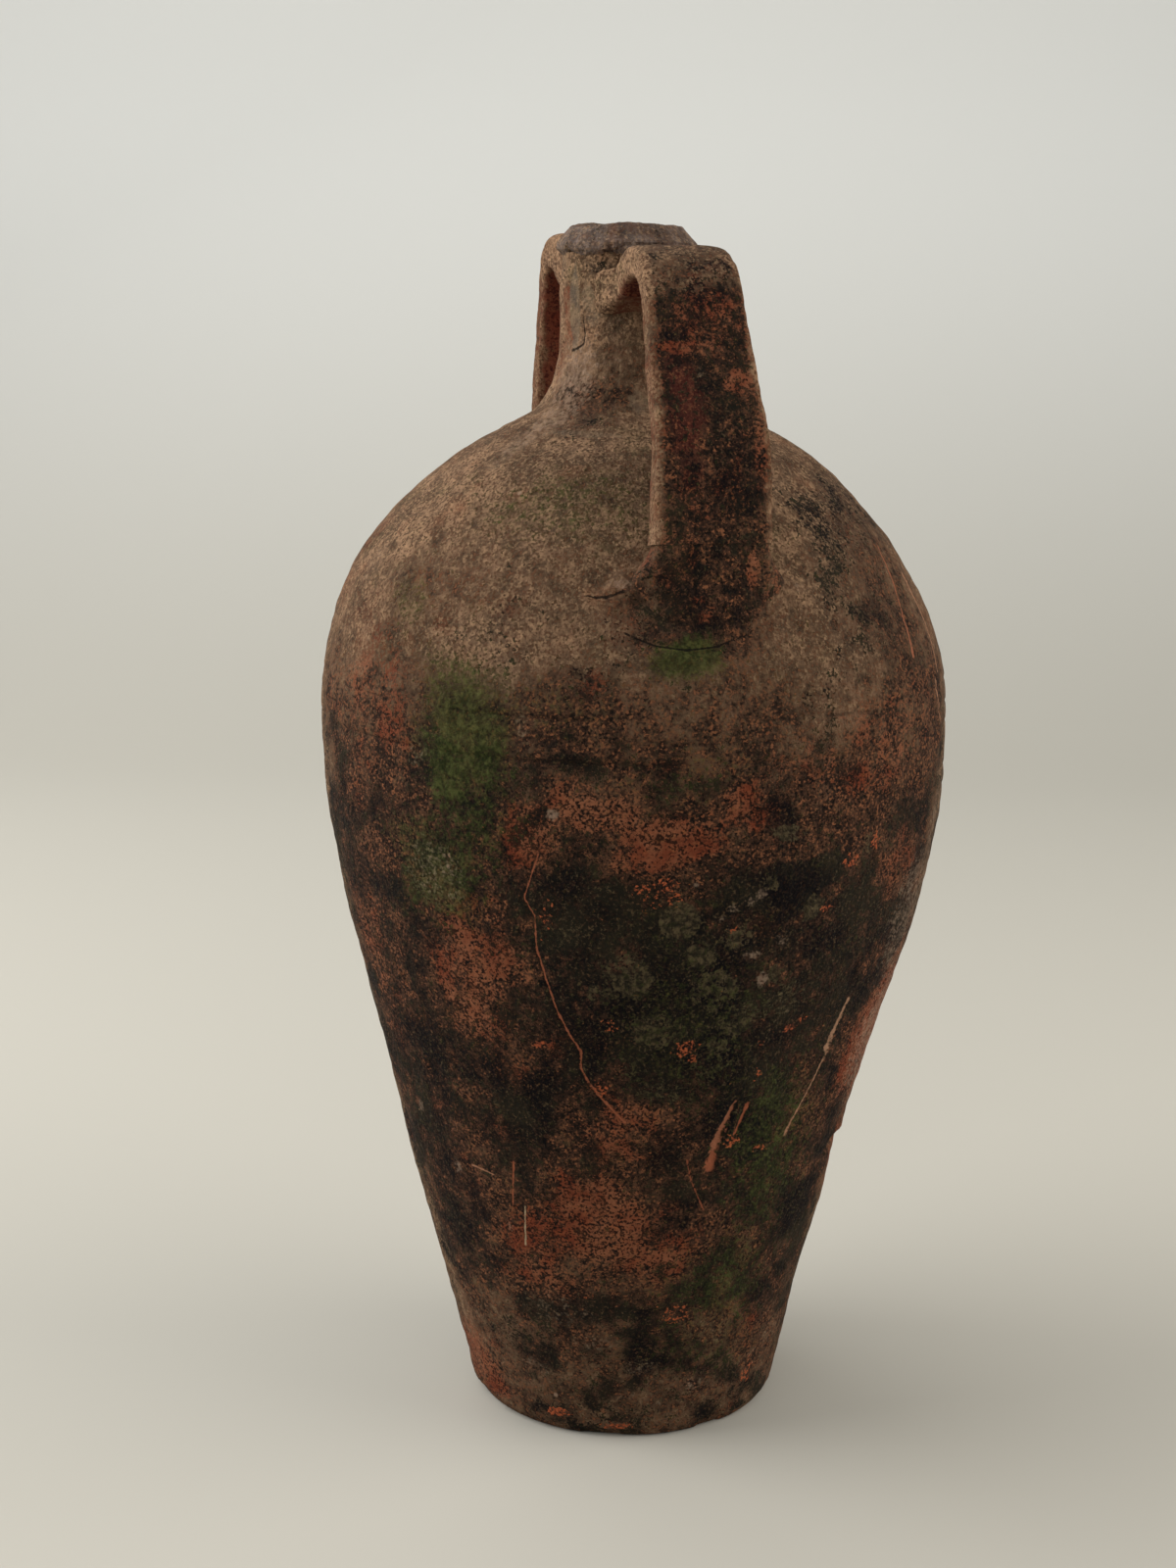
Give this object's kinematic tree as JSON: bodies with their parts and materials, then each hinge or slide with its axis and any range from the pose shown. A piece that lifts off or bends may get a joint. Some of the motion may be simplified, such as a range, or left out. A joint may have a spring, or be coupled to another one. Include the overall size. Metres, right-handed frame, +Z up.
{
  "type": "olive jar",
  "caption": "Tall two-handled earthenware olive jar with a narrow collared mouth, a broad shoulder and a tapering body on a flat foot.",
  "frame": {"origin": "middle of the foot, on the surface that the jar stands on", "axes": "+Z up along the jar's axis, X through the two handles with the lower one on +X"},
  "size_m": [0.324, 0.324, 0.62],
  "materials": {
    "lower_body": "unglazed earthenware, orange-red clay under dark soot and lichen",
    "middle_body": "unglazed earthenware, dark soot, lichen and moss over orange-red clay",
    "upper_body": "unglazed earthenware, dusty brown and sandy",
    "neck": "unglazed earthenware, tan with grey drips of slip",
    "rim_collar": "unglazed earthenware, grey-brown and worn smooth",
    "handle_strap": "unglazed earthenware, sooty with orange wear",
    "luting_clay": "unglazed earthenware, smeared on by hand"
  },
  "bodies": {
    "root": {"foot_section": "lower_body", "middle_section": "middle_body", "shoulder_section": "upper_body", "neck": "neck", "rim_collar": "rim_collar", "handle_right": "handle_strap", "handle_left": "handle_strap", "shoulder_pad_right": "luting_clay", "shoulder_pad_left": "luting_clay", "neck_pad_right": "luting_clay", "neck_pad_left": "luting_clay"}
  },
  "joints": []
}
